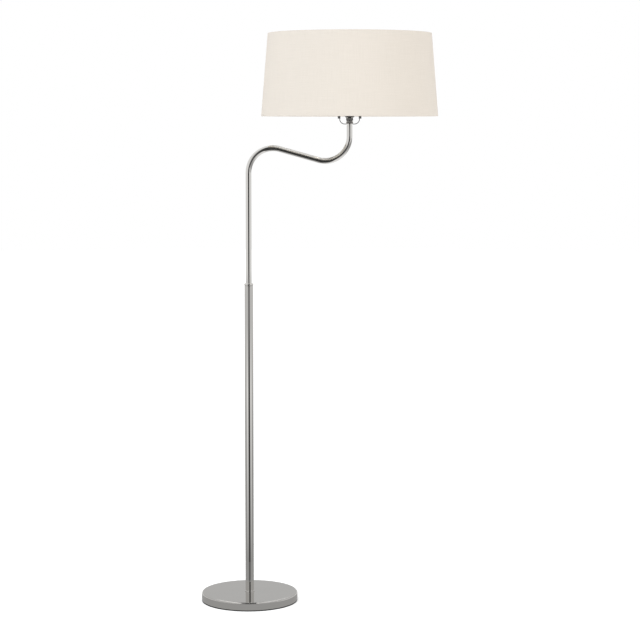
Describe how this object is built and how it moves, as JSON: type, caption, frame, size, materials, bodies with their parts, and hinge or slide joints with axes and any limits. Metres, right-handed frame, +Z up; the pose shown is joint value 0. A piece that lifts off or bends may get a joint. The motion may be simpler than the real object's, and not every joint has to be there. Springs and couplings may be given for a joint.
{
  "type": "floor lamp",
  "caption": "Floor lamp with a weighted disc base, telescoping column, crooked swivel arm and a drum shade on a harp, polished nickel",
  "frame": {"origin": "centre of the base's underside, on the column's axis, at the floor", "axes": "+Z up along the column, +X the way the arm reaches at rest, +Y to the cord inlet at the back"},
  "size_m": [0.612, 0.454, 1.473],
  "materials": {
    "nickel": "polished nickel plate",
    "cast_iron": "rough cast, black wash",
    "felt": "felt",
    "black_plastic": "moulded",
    "zinc_steel": "zinc plated",
    "spring_steel": "oiled",
    "rubber": "matte",
    "nylon": "natural nylon",
    "lead_sheath": "soft vinyl",
    "wire_insulation": "soft vinyl",
    "brass": "turned",
    "phenolic": "moulded phenolic",
    "paper": "pressed paper",
    "aluminium": "drawn",
    "frosted_glass": "frosted",
    "white_wire": "white enamel",
    "styrene": "translucent sheet",
    "linen": "plain woven linen"
  },
  "bodies": {
    "base": {"base_cover": "nickel", "base_weight": "cast_iron", "base_pad": "felt", "cord_gland": "black_plastic", "base_rod": "zinc_steel", "base_washer": "zinc_steel", "base_nut": "zinc_steel", "foot_ring": "nickel", "foot_plug": "zinc_steel", "column_tube": "nickel", "stop_sleeve": "rubber", "guide_bush": "nylon", "column_collar": "nickel"},
    "slide": {"friction_plug": "nylon", "plug_spring": "spring_steel"},
    "arm": {"spigot": "zinc_steel", "spigot_clip": "spring_steel", "arm_tube": "nickel", "stop_ring": "nylon", "arm_lead": "lead_sheath", "lead_connector": "black_plastic", "tube_insert": "brass", "neck_ring": "nickel", "harp_saddle": "nickel", "turned_neck": "nickel", "neck_nipple": "brass", "socket_cap": "nickel", "cap_screw": "zinc_steel", "socket_interior": "phenolic", "terminal_screws": "brass", "socket_wires": "wire_insulation", "socket_liner": "paper", "socket_shell": "nickel", "screw_shell": "brass", "centre_contact": "brass", "bulb_cap": "aluminium", "bulb_contact": "brass", "bulb_glass": "frosted_glass", "harp": "nickel", "harp_stud": "nickel", "finial": "nickel"},
    "ferrule_left": {"ferrule_left": "nickel"},
    "ferrule_right": {"ferrule_right": "nickel"},
    "switch": {"switch_stem": "brass", "switch_knob": "phenolic"},
    "shade": {"shade_spider": "white_wire", "shade_bottom_ring": "white_wire", "shade_liner": "styrene", "shade_fabric": "linen"}
  },
  "joints": [
    {"name": "height_slide", "type": "slide", "parent": "base", "child": "slide", "axis": [0, 0, 1], "range_m": [-0.28, 0.15]},
    {"name": "arm_swivel", "type": "hinge", "parent": "slide", "child": "arm", "pos_m": [0, 0, 0.415], "axis": [0, 0, 1], "range_deg": [-180, 180]},
    {"name": "shade_turn", "type": "hinge", "parent": "arm", "child": "shade", "pos_m": [0.26, 0, 1.449], "axis": [0, 0, 1], "continuous": true},
    {"name": "switch_knob_turn", "type": "hinge", "parent": "arm", "child": "switch", "pos_m": [0.26, -0.03, 1.288], "axis": [0, -1, 0], "continuous": true},
    {"name": "ferrule_left_slide", "type": "slide", "parent": "arm", "child": "ferrule_left", "axis": [0, 0, 1], "range_m": [0, 0.012]},
    {"name": "ferrule_right_slide", "type": "slide", "parent": "arm", "child": "ferrule_right", "axis": [0, 0, 1], "range_m": [0, 0.012]}
  ]
}
